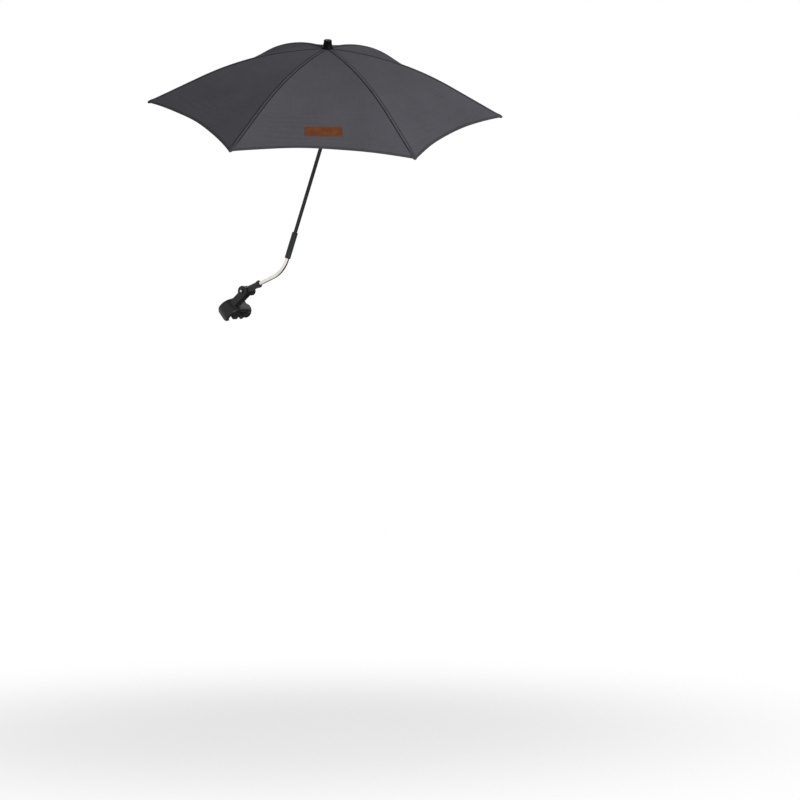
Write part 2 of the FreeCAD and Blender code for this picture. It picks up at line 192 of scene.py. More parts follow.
def newGroup(name, values, outputs):
    tree = bpy.data.node_groups.new(name, "ShaderNodeTree")
    tree.interface.new_socket("Vector", in_out="INPUT", socket_type="NodeSocketVector")
    for label, value in values.items():
        socket = tree.interface.new_socket(label, in_out="INPUT", socket_type="NodeSocketFloat")
        socket.default_value = value
    for label in outputs:
        tree.interface.new_socket(label, in_out="OUTPUT", socket_type="NodeSocketFloat")
    return tree, tree.nodes.new("NodeGroupInput").outputs, tree.nodes.new("NodeGroupOutput").inputs


weaveSpec = {"threads": 2000.0, "drift": 0.012, "layer": {"X": 7.0, "Y": 31.0}, "tintScale": 0.73,
             "tintDetail": 2.0}


def weaveGroup():
    # plain weave on coordinates in metres: height of the threads and a tint for each one
    tree, given, result = newGroup("plainWeave", {"Threads": weaveSpec["threads"]}, ["Height", "Tint"])
    scaled = addNode(tree, "ShaderNodeVectorMath", {0: given["Vector"]}, operation="SCALE")
    tree.links.new(given["Threads"], scaled.inputs["Scale"])
    parts = addNode(tree, "ShaderNodeSeparateXYZ", {0: scaled.outputs[0]}).outputs
    waves = [addMath(tree, "SINE", addMath(tree, "MULTIPLY", parts[axis], math.pi)) for axis in ("X", "Y")]
    crowns = [addMath(tree, "ABSOLUTE", wave) for wave in waves]
    over = addMath(tree, "GREATER_THAN", addMath(tree, "MULTIPLY", waves[0], waves[1]), 0.0)
    warp = addMath(tree, "MULTIPLY", crowns[0], over)
    weft = addMath(tree, "MULTIPLY", crowns[1], addMath(tree, "SUBTRACT", 1.0, over))
    tree.links.new(addMath(tree, "ADD", warp, weft), result["Height"])
    tints = []
    for axis, other in (("X", "Y"), ("Y", "X")):
        line = addMath(tree, "FLOOR", parts[axis])
        slow = addMath(tree, "MULTIPLY", parts[other], weaveSpec["drift"])
        spot = addNode(tree, "ShaderNodeCombineXYZ", {0: line, 1: slow, 2: weaveSpec["layer"][axis]})
        tints.append(noise(tree, spot.outputs[0], weaveSpec["tintScale"], weaveSpec["tintDetail"]))
    both = addNode(tree, "ShaderNodeMix", {0: over, 2: tints[1], 3: tints[0]}, data_type="FLOAT")
    tree.links.new(both.outputs[0], result["Tint"])
    return tree


grainSpec = {"size": 0.0007, "fineScale": 0.45, "fineHeight": 0.6, "glossScale": 38.0, "detail": 4.0}


def grainGroup():
    # spark-eroded mould grain: fine height and a slow change of gloss
    tree, given, result = newGroup("mouldGrain", {"Size": grainSpec["size"]}, ["Height", "Gloss"])
    density = addMath(tree, "DIVIDE", 1.0, given["Size"])
    pits = addNode(tree, "ShaderNodeTexVoronoi", {"Vector": given["Vector"], "Scale": density},
                   feature="SMOOTH_F1").outputs["Distance"]
    fine = noise(tree, given["Vector"], addMath(tree, "MULTIPLY", density, grainSpec["fineScale"]),
                 grainSpec["detail"])
    height = addMath(tree, "ADD", pits, addMath(tree, "MULTIPLY", fine, grainSpec["fineHeight"]))
    tree.links.new(height, result["Height"])
    gloss = noise(tree, given["Vector"], grainSpec["glossScale"], grainSpec["detail"])
    tree.links.new(gloss, result["Gloss"])
    return tree


wearSpec = {"amount": 0.5, "edge": (0.52, 0.60), "breakScale": 420.0, "breakDetail": 5.0,
            "break": (0.35, 0.7), "hollow": (0.50, 0.44), "dustScale": 90.0, "dustDetail": 4.0,
            "dust": (0.4, 0.75)}


def wearGroup():
    # rubbed edges and dusty hollows, 1 where the finish is worn or dusty
    tree, given, result = newGroup("rubbedEdges", {"Amount": wearSpec["amount"]}, ["Worn", "Dust"])
    edge = addNode(tree, "ShaderNodeNewGeometry").outputs["Pointiness"]
    sharp = remap(tree, edge, wearSpec["edge"])
    flecks = noise(tree, given["Vector"], wearSpec["breakScale"], wearSpec["breakDetail"])
    broken = remap(tree, flecks, wearSpec["break"])
    worn = addMath(tree, "MULTIPLY", addMath(tree, "MULTIPLY", sharp, broken), given["Amount"])
    tree.links.new(worn, result["Worn"])
    hollow = remap(tree, edge, wearSpec["hollow"])
    patch = noise(tree, given["Vector"], wearSpec["dustScale"], wearSpec["dustDetail"])
    dust = addMath(tree, "MULTIPLY", hollow, remap(tree, patch, wearSpec["dust"]))
    tree.links.new(dust, result["Dust"])
    return tree


fibreSpec = {"cloudScale": 11.0, "cloudDetail": 4.0, "stretch": (1.0, 0.22, 1.0), "scale": 900.0,
             "detail": 3.0, "rough": 0.7}


def fibreGroup():
    # soft cloudy change of shade and short fibres
    tree, given, result = newGroup("clothFibre", {}, ["Cloud", "Fibre"])
    cloud = noise(tree, given["Vector"], fibreSpec["cloudScale"], fibreSpec["cloudDetail"])
    tree.links.new(cloud, result["Cloud"])
    long = addNode(tree, "ShaderNodeMapping", {"Vector": given["Vector"], "Scale": fibreSpec["stretch"]})
    fibre = noise(tree, long.outputs[0], fibreSpec["scale"], fibreSpec["detail"], fibreSpec["rough"])
    tree.links.new(fibre, result["Fibre"])
    return tree


groups = {"weave": weaveGroup(), "grain": grainGroup(), "wear": wearGroup(), "fibre": fibreGroup()}


# Finishes

def placeGroup(tree, name, vector, **values):
    node = tree.nodes.new("ShaderNodeGroup")
    node.node_tree = groups[name]
    tree.links.new(vector, node.inputs["Vector"])
    for key, value in values.items():
        node.inputs[key.title()].default_value = value
    return node.outputs


def newFinish(name, **sockets):
    material = bpy.data.materials.new(name)
    material.use_nodes = True
    tree = material.node_tree
    shader = tree.nodes["Principled BSDF"]
    for key, value in sockets.items():
        shader.inputs[key.replace("_", " ")].default_value = value
    return material, tree, shader


def setBump(tree, shader, height, distance, strength=1.0):
    bump = addNode(tree, "ShaderNodeBump", {"Height": height, "Distance": distance, "Strength": strength})
    tree.links.new(bump.outputs[0], shader.inputs["Normal"])


def linkTo(tree, shader, **sockets):
    for key, value in sockets.items():
        tree.links.new(value, shader.inputs[key.replace("_", " ")])


clothSpec = {"sheenRough": 0.45, "sheenTint": (0.8, 0.82, 0.9, 1), "tints": (0.90, 1.10), "gap": (0.0, 0.75),
             "gapShade": 0.45, "gapAmount": (0.5, 0.0), "cloud": (0.94, 1.06), "fibre": (0.93, 1.09),
             "rough": (0.78, 0.92)}


def clothFinish(name, colour, threads, bump, sheen):
    material, tree, shader = newFinish(name, Sheen_Weight=sheen, Sheen_Roughness=clothSpec["sheenRough"],
                                       Sheen_Tint=clothSpec["sheenTint"], Specular_IOR_Level=0.0)
    uv = addNode(tree, "ShaderNodeUVMap", uv_map="clothUv").outputs[0]
    weave = placeGroup(tree, "weave", uv, threads=threads)
    fibre = placeGroup(tree, "fibre", uv)
    dark, pale = (shaded(colour, tint) for tint in clothSpec["tints"])
    shade = mixColour(tree, remap(tree, weave["Tint"], noiseBand), dark, pale)
    # painted shade: the cloth is darkened between the threads, where the weave is low
    shade = mixColour(tree, remap(tree, weave["Height"], clothSpec["gap"], clothSpec["gapAmount"]), shade,
                      shaded(colour, clothSpec["gapShade"]))
    level = addMath(tree, "MULTIPLY", remap(tree, fibre["Cloud"], noiseBand, clothSpec["cloud"]),
                    remap(tree, fibre["Fibre"], noiseBand, clothSpec["fibre"]))
    shade = addNode(tree, "ShaderNodeVectorMath", {0: shade, "Scale": level}, operation="SCALE")
    linkTo(tree, shader, Base_Color=shade.outputs[0],
           Roughness=remap(tree, fibre["Cloud"], noiseBand, clothSpec["rough"]))
    setBump(tree, shader, weave["Height"], bump)
    return material


plasticSpec = {"wornGain": 2.6, "wornLift": 0.012, "wornGloss": 0.12, "dust": (0.075, 0.072, 0.066),
               "dustAmount": 0.35, "roughSpread": (-0.07, 0.08), "bump": 0.00004, "gleam": 0.28}


def plasticFinish(name, colour, rough, grain, wear, bump=plasticSpec["bump"], gleam=plasticSpec["gleam"]):
    material, tree, shader = newFinish(name, Specular_IOR_Level=gleam)
    spot = addNode(tree, "ShaderNodeTexCoord").outputs["Object"]
    skin = placeGroup(tree, "grain", spot, size=grain)
    rub = placeGroup(tree, "wear", spot, amount=wear)
    pale = [part * plasticSpec["wornGain"] + plasticSpec["wornLift"] for part in colour] + [1]
    shade = mixColour(tree, rub["Worn"], shaded(colour), pale)
    shade = mixColour(tree, addMath(tree, "MULTIPLY", rub["Dust"], plasticSpec["dustAmount"]), shade,
                      shaded(plasticSpec["dust"]))
    gloss = remap(tree, skin["Gloss"], noiseBand, [rough + change for change in plasticSpec["roughSpread"]])
    polish = addMath(tree, "MULTIPLY", rub["Worn"], plasticSpec["wornGloss"])
    linkTo(tree, shader, Base_Color=shade, Roughness=addMath(tree, "SUBTRACT", gloss, polish))
    setBump(tree, shader, skin["Height"], bump)
    return material


metalSpec = {"lineScale": 900.0, "lineDetail": 5.0, "lineRough": 0.7, "lines": (0.45, 0.75),
             "patchScale": 45.0, "patchDetail": 4.0, "patch": (0.35, 0.7), "patchShade": 0.88, "wear": 0.6,
             "dust": (0.12, 0.105, 0.09), "dustAmount": 0.5, "roughSpread": (0.7, 1.3),
             "bump": 0.000004, "bumpStrength": 0.6}


def metalFinish(name, colour, rough, scratch, edge=(1, 1, 1)):
    material, tree, shader = newFinish(name, Metallic=1.0, Specular_Tint=shaded(edge))
    spot = addNode(tree, "ShaderNodeTexCoord").outputs["Object"]
    lines = noise(tree, spot, metalSpec["lineScale"], metalSpec["lineDetail"], metalSpec["lineRough"])
    patch = noise(tree, spot, metalSpec["patchScale"], metalSpec["patchDetail"])
    rub = placeGroup(tree, "wear", spot, amount=metalSpec["wear"])
    shade = mixColour(tree, remap(tree, patch, metalSpec["patch"]), shaded(colour),
                      shaded(colour, metalSpec["patchShade"]))
    shade = mixColour(tree, addMath(tree, "MULTIPLY", rub["Dust"], metalSpec["dustAmount"]), shade,
                      shaded(metalSpec["dust"]))
    gloss = remap(tree, patch, noiseBand, [rough * change for change in metalSpec["roughSpread"]])
    linkTo(tree, shader, Base_Color=shade,
           Roughness=addMath(tree, "ADD", gloss, remap(tree, lines, metalSpec["lines"], (0.0, scratch))))
    setBump(tree, shader, lines, metalSpec["bump"], metalSpec["bumpStrength"])
    return material


leatherSpec = {"gleam": 0.12, "coatRough": 0.4, "coat": (0.0, 0.06), "pebbleScale": 900.0,
               "crackScale": 420.0, "crackDetail": 6.0, "crackRough": 0.65, "crackHeight": 0.8,
               "patchScale": 70.0, "patchDetail": 4.0, "wear": 0.7, "tints": (0.7, 1.18),
               "worn": 1.9, "rough": (0.42, 0.68), "bump": 0.00012}


def leatherFinish(name, colour):
    material, tree, shader = newFinish(name, Specular_IOR_Level=leatherSpec["gleam"],
                                       Coat_Roughness=leatherSpec["coatRough"])
    uv = addNode(tree, "ShaderNodeUVMap", uv_map="clothUv").outputs[0]
    pebble = addNode(tree, "ShaderNodeTexVoronoi", {"Vector": uv, "Scale": leatherSpec["pebbleScale"]},
                     feature="SMOOTH_F1")
    cracks = noise(tree, uv, leatherSpec["crackScale"], leatherSpec["crackDetail"], leatherSpec["crackRough"])
    patch = noise(tree, uv, leatherSpec["patchScale"], leatherSpec["patchDetail"])
    rub = placeGroup(tree, "wear", uv, amount=leatherSpec["wear"])
    dark, pale = (shaded(colour, tint) for tint in leatherSpec["tints"])
    shade = mixColour(tree, remap(tree, patch, noiseBand), dark, pale)
    shade = mixColour(tree, rub["Worn"], shade, shaded(colour, leatherSpec["worn"]))
    linkTo(tree, shader, Base_Color=shade, Roughness=remap(tree, cracks, noiseBand, leatherSpec["rough"]),
           Coat_Weight=remap(tree, patch, noiseBand, leatherSpec["coat"]))
    height = addMath(tree, "ADD", pebble.outputs["Distance"],
                     addMath(tree, "MULTIPLY", cracks, leatherSpec["crackHeight"]))
    setBump(tree, shader, height, leatherSpec["bump"])
    return material


# cloth: colour, threads in a metre, bump and sheen
# plastic: colour, roughness, grain, wear, bump and gleam
# metal: colour, roughness, scratches and edge colour
finishes = {
    "cloth": clothFinish("greyCanvas", (0.092, 0.090, 0.103), 1600.0, 0.00012, 0.05),
    "hem": clothFinish("turnedHem", (0.068, 0.067, 0.076), 1600.0, 0.00012, 0.04),
    # dark bound edge cloth, which also stands for painted shadow along the folded edges of the rib seams
    "tape": clothFinish("boundEdge", (0.022, 0.022, 0.025), 1100.0, 0.00018, 0.02),
    "thread": plasticFinish("darkThread", (0.016, 0.016, 0.018), 0.6, 0.0003, 0.0),
    "labelThread": plasticFinish("waxedThread", (0.075, 0.042, 0.022), 0.55, 0.0003, 0.0),
    "leather": leatherFinish("tanLeather", (0.126, 0.039, 0.0105)),
    "plastic": plasticFinish("mouldedBlack", (0.012, 0.0125, 0.0135), 0.40, 0.0009, 0.6),
    "gloss": plasticFinish("polishedBlack", (0.003, 0.003, 0.0031), 0.42, 0.0012, 0.2, 0.00001, 0.03),
    "soft": plasticFinish("softTouchBlack", (0.020, 0.022, 0.022), 0.58, 0.0006, 0.4),
    "coat": plasticFinish("powderCoat", (0.011, 0.011, 0.012), 0.36, 0.0011, 0.5, 0.00003),
    "rubber": plasticFinish("grippyRubber", (0.018, 0.018, 0.018), 0.72, 0.0005, 0.2),
    "chrome": metalFinish("chromedSteel", (0.80, 0.765, 0.725), 0.08, 0.05, (0.35, 0.33, 0.31)),
    "steel": metalFinish("zincSteel", (0.58, 0.58, 0.57), 0.28, 0.12),
    "brass": metalFinish("turnedBrass", (0.62, 0.44, 0.18), 0.26, 0.12),
}
slotFinish = {"canopy_fabric": "cloth", "frame_black": "coat", "plastic_black": "plastic", "chrome": "chrome",
              "steel": "steel", "brass": "brass", "rubber": "rubber", "leather": "leather"}
slotOf = {part["node"]: part["material_slot"] for part in frame["record"]["subparts"]}
for node, shown in nodes.items():
    finishWith(shown, finishes[slotFinish[slotOf[node]]])
print("finishes:", len(finishes))


# Canopy surface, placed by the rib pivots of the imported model

canopySpec = {
    "ribs": 6,
    "pivotDepth": 0.0075,     # rib pivots below the apex
    "crownSlope": 2.9,        # degrees, cloth along a rib at the apex
    "hemSlope": 28.2,         # degrees, cloth along a rib at the hem
    "arcReach": 0.254,        # radius where a rib becomes straight
    "hole": 0.0068,
    "reach": 0.3586,          # cloth along a rib
    "alongCloth": 1.06,       # length along the sloping cloth for each length across the top
    "scoop": 0.0540,          # share that the hem draws in between two ribs
    "thick": 0.0005,
    "rows": 112,
    "rowBias": 0.45,          # rows closer together towards the hem
    "columns": 27,
    "columnBias": 1.5,        # columns closer together towards the rib
    "middleGap": 1e-9,        # keeps a half panel on its own side of the middle line
    "foldKeep": 0.053,        # share of a panel's width
    "foldLean": 8.0,          # degrees
    "foldFrom": 0.1,          # share of the reach
    "partedPanel": 3,         # the pole stands between this panel's halves when folded
    "partedKeep": 0.02,
    "foldAngle": 69.6,        # degrees
}

ribJoints = ["canopy_fold"] + ["rib_%d_fold" % number for number in range(2, canopySpec["ribs"] + 1)]
pivots = [Vector(joints[name]["pos_m"]) for name in ribJoints]
hubCentre = sum(pivots, Vector()) / len(pivots)
canopyAxis = (pivots[0] - hubCentre).cross(pivots[1] - hubCentre).normalized()
apex = hubCentre + canopyAxis * canopySpec["pivotDepth"]
halfPanel = math.pi / canopySpec["ribs"]
halfChord = math.sin(halfPanel)       # half a panel's width at radius 1
crownSine = math.sin(math.radians(canopySpec["crownSlope"]))
hemSine = math.sin(math.radians(canopySpec["hemSlope"]))
bowRadius = canopySpec["arcReach"] / (hemSine - crownSine)


def ribBasis(rib):
    out = (pivots[rib] - hubCentre).normalized()
    basis = Matrix((out, canopyAxis.cross(out), canopyAxis)).transposed().to_4x4()
    basis.translation = apex
    return basis


ribBases = [ribBasis(rib) for rib in range(canopySpec["ribs"])]


def clothDrop(radius):
    sine = crownSine + min(radius, canopySpec["arcReach"]) / bowRadius
    fall = bowRadius * (math.sqrt(1 - crownSine ** 2) - math.sqrt(1 - sine ** 2))
    return fall + max(radius - canopySpec["arcReach"], 0) * math.tan(math.radians(canopySpec["hemSlope"]))


labelSpec = {"panel": 4, "side": -1, "radius": 0.2966, "turn": 3.6, "width": 0.073, "height": 0.025,
             "corner": 0.0016, "leastCorner": 0.0006, "cornerInset": 0.6, "cornerSteps": 6,
             "sideSteps": (20, 8), "slope": 0.982, "thick": 0.0011, "border": 0.0019, "groove": 0.82,
             "threadLift": 0.86, "normalAt": 0.01, "stitch": 0.0031, "stitchLength": 0.0022,
             "stitchRadius": 0.00025}

# bands are shares of the reach, the shift moves the waves on from panel to panel
reliefSpec = {
    "sag": 0.0050,            # dip of a panel below the straight line between its ribs
    "sagReach": 0.92,
    "sagBias": 1.2,           # deepest point towards the hem
    "pull": {"height": 0.0004, "waves": 6.0, "shift": 1.9, "band": (0.45, 0.95)},
    "flutter": {"height": 0.0004, "waves": 8.0, "shift": 2.3, "band": (0.9, 1.0)},
}

# the label's stitching draws the cloth beside it into small creases
creaseSpec = {
    "height": 0.00064,
    "spacing": 0.0125,
    "elsewhere": 0.3,         # share of the height on panels without the label
    "wander": 1.3,
    "wanderTurns": 58.0,
    "wanderSkew": 4.0,
    "slant": 2.2,
    "inner": (0.66, 0.78),    # the creases rise and fade along the reach
    "outer": (0.97, 0.88),
    "left": (-0.92, -0.55),   # and across the panel
    "right": (0.45, -0.2),
    "coverAcross": (0.36, 0.26),        # flat under the label
    "coverAlong": (0.020, 0.014),
}


def creaseHeight(panel, t, radius, share):
    spec = creaseSpec
    wander = spec["wander"] * math.sin(spec["wanderTurns"] * radius + spec["wanderSkew"] * t)
    phase = 2 * math.pi * radius / spec["spacing"] + wander + spec["slant"] * t + panel
    crease = spec["height"] * math.cos(phase)
    crease *= smoothStep(*spec["inner"], share) * smoothStep(*spec["outer"], share)
    crease *= smoothStep(*spec["left"], t) * smoothStep(*spec["right"], t)
    if panel != labelSpec["panel"]:
        return crease * spec["elsewhere"]
    covered = smoothStep(*spec["coverAcross"], abs(t))
    covered *= smoothStep(*spec["coverAlong"], abs(radius - labelSpec["radius"]))
    return crease * (1 - covered)


def panelRelief(panel, t, radius):
    # height over the straight line between two ribs, t from -1 to 1 across the panel
    share = min(radius / canopySpec["reach"], 1)
    across = 1 - t * t
    bow = math.sin(math.pi * min(share * reliefSpec["sagReach"], 1) ** reliefSpec["sagBias"])
    relief = -reliefSpec["sag"] * across * bow + creaseHeight(panel, t, radius, share)
    for wave in (reliefSpec["pull"], reliefSpec["flutter"]):
        swing = math.cos(wave["waves"] * t + wave["shift"] * panel)
        relief += wave["height"] * across * swing * smoothStep(*wave["band"], share)
    return relief


def hemReach(t):
    return canopySpec["reach"] * (1 - canopySpec["scoop"] * (1 - t * t))


def panelPoint(panel, t, radius, lift=0.0):
    # t is -1 on the panel's own rib and 1 on the next one
    rib, side = (panel, 1) if t <= 0 else ((panel + 1) % canopySpec["ribs"], -1)
    along = (1 - abs(t)) * radius * halfChord
    height = panelRelief(panel, t, radius) - clothDrop(radius) + lift
    return ribBases[rib] @ Vector((radius - halfChord * along, side * math.cos(halfPanel) * along, height))


def panelNormal(panel, t, radius, step=0.0004):
    inner = min(max(t, -1 + 2 * step), 1 - 2 * step)
    across = panelPoint(panel, inner + step, radius) - panelPoint(panel, inner - step, radius)
    outer = panelPoint(panel, inner, radius + step) - panelPoint(panel, inner, radius - step)
    normal = across.cross(outer).normalized()
    return normal if normal.dot(canopyAxis) > 0 else -normal


def ribOf(panel, side):
    # side 1 is the half on the panel's own rib, -1 the half on the next rib
    return panel if side > 0 else (panel + 1) % canopySpec["ribs"]


def acrossHalf(side, share):
    # from a half panel's rib at share 0 to the panel's middle line at share 1
    return -side * max(1 - share ** canopySpec["columnBias"], canopySpec["middleGap"])


def squashOnRib(piece, rib):
    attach(piece, "rib_%d" % (rib + 1))
    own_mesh(piece)


def foldWithRib(piece, panel, side):
    # the half panel rides on its own rib and closes with it
    squashOnRib(piece, ribOf(panel, side))


def halfName(label, panel, side):
    return "%s%d%s" % (label, panel + 1, "a" if side > 0 else "b")


def clothSheet(name, points, faces, uvs):
    # the area is taken from the open surface, before it gets its thickness
    piece = meshPiece(name, points, faces, uvs)
    area = sum(face.area for face in piece.data.polygons)
    applyModifier(piece, "SOLIDIFY", thickness=canopySpec["thick"], offset=-1.0)
    smoothPiece(piece, "cloth")
    finishWith(piece, finishes["cloth"])
    return piece, area


def makePanelHalf(panel, side):
    rows, columns = canopySpec["rows"], canopySpec["columns"]
    points, uvs = [], []
    for i in range(rows):
        for j in range(columns):
            t = acrossHalf(side, j / (columns - 1))
            share = i / (rows - 1)
            share *= 1 + canopySpec["rowBias"] * (1 - share)
            radius = canopySpec["hole"] + (hemReach(t) - canopySpec["hole"]) * share
            points.append(panelPoint(panel, t, radius))
            uvs.append((t * radius * halfChord, radius * canopySpec["alongCloth"]))
    faces = [face[::-side] for face in gridFaces(rows, columns)]
    piece, area = clothSheet(halfName("canopyPanel", panel, side), points, faces, uvs)
    foldWithRib(piece, panel, side)
    return piece, area


# Bias tape around the hem, one length for each half panel

hemSpec = {"stations": 40, "uvStep": 0.0012,
           "upper": [(0.0050, -0.00005), (0.0047, 0.00036), (0.0025, 0.00045), (0.0006, 0.0005175),
                     (-0.0005, 0.00018)],      # inset from the hem and height over the cloth
           "stitch": 0.0034, "stitchLength": 0.0024, "stitchRadius": 0.00022, "stitchInset": 0.0039,
           "stitchLift": 0.00045, "normalInset": 0.0050}


def hemPoint(panel, t, inset, lift):
    return panelPoint(panel, t, hemReach(t) - inset, lift)


def makeHemTape(panel, side):
    upper, stations = hemSpec["upper"], hemSpec["stations"]
    section = upper + [(inset, -canopySpec["thick"] - lift) for inset, lift in reversed(upper)]
    points, uvs = [], []
    for i in range(stations):
        t = acrossHalf(side, i / (stations - 1))
        for k, (inset, lift) in enumerate(section):
            points.append(hemPoint(panel, t, inset, lift))
            uvs.append((t * canopySpec["reach"] * halfChord, k * hemSpec["uvStep"]))
    piece = closedTube(halfName("hemTape", panel, side), points, len(section), uvs)
    smoothPiece(piece, "tape")
    finishWith(piece, finishes["hem"])
    return piece


# a stitch is a low thread that dips into the cloth at both ends: place along it, size and height in radii
stitchSpec = {"sides": 6, "rings": [(0.0, 0.35, -0.9), (0.22, 1.0, 0.25), (0.78, 1.0, 0.25),
                                    (1.0, 0.35, -0.9)]}


def stitchMesh(name, stitches, radius, finish):
    sides, rings = stitchSpec["sides"], stitchSpec["rings"]
    shell = gridFaces(len(rings), sides, closed=True)
    shell += [range(sides)[::-1], range(sides * (len(rings) - 1), sides * len(rings))]
    points, faces = [], []
    for start, end, normal in stitches:
        along = end - start
        side = along.cross(normal).normalized() * radius
        up = normal.normalized() * radius
        faces += [[len(points) + corner for corner in face] for face in shell]
        for share, size, height in rings:
            middle = start + along * share + up * height
            for k in range(sides):
                angle = 2 * math.pi * k / sides
                points.append(middle + (side * math.cos(angle) + up * math.sin(angle)) * size)
    piece = meshPiece(name, points, faces)
    outwards(piece)
    smoothPiece(piece, "thread")
    finishWith(piece, finishes[finish])
    return piece


def makeHemStitches(panel, side):
    length = canopySpec["reach"] * halfChord
    count = int(length / hemSpec["stitch"])
    reach = hemSpec["stitchLength"] / 2 / length
    inset, lift = hemSpec["stitchInset"], hemSpec["stitchLift"]
    stitches = []
    for i in range(count):
        middle = -side * (1 - (i + 0.5) / count)
        start, end = (hemPoint(panel, middle + step, inset, lift) for step in (-reach, reach))
        stitches.append((start, end, panelNormal(panel, middle, hemReach(middle) - hemSpec["normalInset"])))
    return stitchMesh(halfName("hemStitches", panel, side), stitches, hemSpec["stitchRadius"], "thread")


for panel in range(canopySpec["ribs"]):
    for side in (1, -1):
        piece, area = makePanelHalf(panel, side)
        trims = [makeHemTape(panel, side), makeHemStitches(panel, side)]
        for trim in trims:
            foldWithRib(trim, panel, side)
for rib in range(canopySpec["ribs"]):
    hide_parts("canopy_gore_%d" % (rib + 1))


# Lining flaps under the cloth on both sides of a rib, they close the folded canopy below the crown

liningSpec = {"start": 0.020, "end": 0.300, "partedEnd": 0.250, "taper": 0.050, "narrowing": 0.6,
              "gap": 0.0032, "under": 0.0009, "margin": 0.0058, "widest": 0.995, "keep": 0.5,
              "rows": 44, "columns": 8}


def liningWidth(radius, end):
    # as wide as the room between two folded ribs, and never past the panel's middle line
    fold = math.radians(canopySpec["foldAngle"])
    pivotOut = (pivots[0] - hubCentre).length
    folded = (pivotOut + (radius - pivotOut) * math.cos(fold)
              + (canopySpec["pivotDepth"] - clothDrop(radius)) * math.sin(fold))
    lean = math.tan(halfPanel)
    wide = lean * folded / (math.cos(halfPanel) * liningSpec["keep"] + lean * halfChord * math.cos(fold))
    wide *= 1 - liningSpec["narrowing"] * smoothStep(end - liningSpec["taper"], end, radius)
    return min(wide - liningSpec["margin"], radius * halfChord * liningSpec["widest"])


def makeRibLining(rib):
    rows, columns = liningSpec["rows"], liningSpec["columns"]
    points, uvs, faces = [], [], []
    for side in (1, -1):
        panel = rib if side > 0 else (rib - 1) % canopySpec["ribs"]
        end = liningSpec["partedEnd" if panel == canopySpec["partedPanel"] else "end"]
        faces += [[len(points) + corner for corner in face[::-side]] for face in gridFaces(rows, columns)]
        for i in range(rows):
            radius = liningSpec["start"] + (end - liningSpec["start"]) * i / (rows - 1)
            for j in range(columns):
                along = liningSpec["gap"] + (liningWidth(radius, end) - liningSpec["gap"]) * j / (columns - 1)
                points.append(panelPoint(panel, -side * (1 - along / (radius * halfChord)), radius,
                                         -canopySpec["thick"] - liningSpec["under"]))
                uvs.append((side * along, radius * canopySpec["alongCloth"]))
    piece, area = clothSheet("ribLining%d" % (rib + 1), points, faces, uvs)
    squashOnRib(piece, rib)
    start, end = liningSpec["start"], liningSpec["end"]
    widest = 2 * liningWidth(end - 2 * liningSpec["taper"], end)


for rib in range(canopySpec["ribs"]):
    makeRibLining(rib)
print("rib linings:", canopySpec["ribs"])


# Felled seam over each rib, with a row of stitches on both sides

seamSpec = {"left": [(-0.0050, -0.0001), (-0.00485, 0.00044), (-0.0029, 0.0004), (-0.002465, 0.00072)],
            "belly": (0.0015, -0.0003),      # offset from the rib and height over the cloth
            "start": 0.0125, "past": 0.0002, "stations": 90, "boundSides": (0, 1, 5, 6), "row": 0.0022,
            "stitch": 0.0036, "stitchLength": 0.0026, "stitchRadius": 0.00026, "stitchLift": 0.0006,
            "stitchStart": 0.004, "stitchRoom": 0.008}


def seamPoint(rib, offset, radius, lift):
    panel, side = (rib, 1) if offset >= 0 else ((rib - 1) % canopySpec["ribs"], -1)
    return panelPoint(panel, -side * (1 - abs(offset) / (radius * halfChord)), radius, lift)


def makeSeam(rib):
    belly, depth = seamSpec["belly"]
    section = seamSpec["left"] + [(-offset, lift) for offset, lift in reversed(seamSpec["left"])]
    section += [(belly, depth), (-belly, depth)]
    stations, size, start = seamSpec["stations"], len(section), seamSpec["start"]
    points, uvs = [], []
    for i in range(stations):
        radius = start + (canopySpec["reach"] + seamSpec["past"] - start) * i / (stations - 1)
        for offset, lift in section:
            points.append(seamPoint(rib, offset, radius, lift))
            uvs.append((offset, radius * canopySpec["alongCloth"]))
    piece = closedTube("ribSeam%d" % (rib + 1), points, size, uvs)
    smoothPiece(piece, "tape")
    finishWith(piece, finishes["cloth"])
    # the dark strips along both edges of the seam are a dark binding and also painted shadow of its folded edges
    piece.data.materials.append(finishes["tape"])
    for face in piece.data.polygons[:(stations - 1) * size]:
        face.material_index = int(face.index % size in seamSpec["boundSides"])
    return piece


def makeSeamStitches(rib):
    start, lift = seamSpec["start"], seamSpec["stitchLift"]
    count = int((canopySpec["reach"] - seamSpec["stitchRoom"] - start) / seamSpec["stitch"])
    stitches = []
    for offset in (-seamSpec["row"], seamSpec["row"]):
        for i in range(count):
            radius = start + seamSpec["stitchStart"] + seamSpec["stitch"] * i
            ends = [seamPoint(rib, offset, radius + step, lift) for step in (0, seamSpec["stitchLength"])]
            stitches.append((*ends, canopyAxis))
    return stitchMesh("ribStitches%d" % (rib + 1), stitches, seamSpec["stitchRadius"], "thread")


for rib in range(canopySpec["ribs"]):
    for trim in (makeSeam(rib), makeSeamStitches(rib)):
        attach(trim, "rib_%d" % (rib + 1))
print("rib seams:", canopySpec["ribs"])


# Leather label on the front panel, bare, with a stitched border

def labelPoint(x, y, lift):
    # x along the chord, y up the slope, from the middle of the label
    turn = math.radians(labelSpec["turn"])
    x, y = x * math.cos(turn) - y * math.sin(turn), x * math.sin(turn) + y * math.cos(turn)
    radius = labelSpec["radius"] - y * labelSpec["slope"]
    return panelPoint(labelSpec["panel"], x / (radius * halfChord), radius, lift)


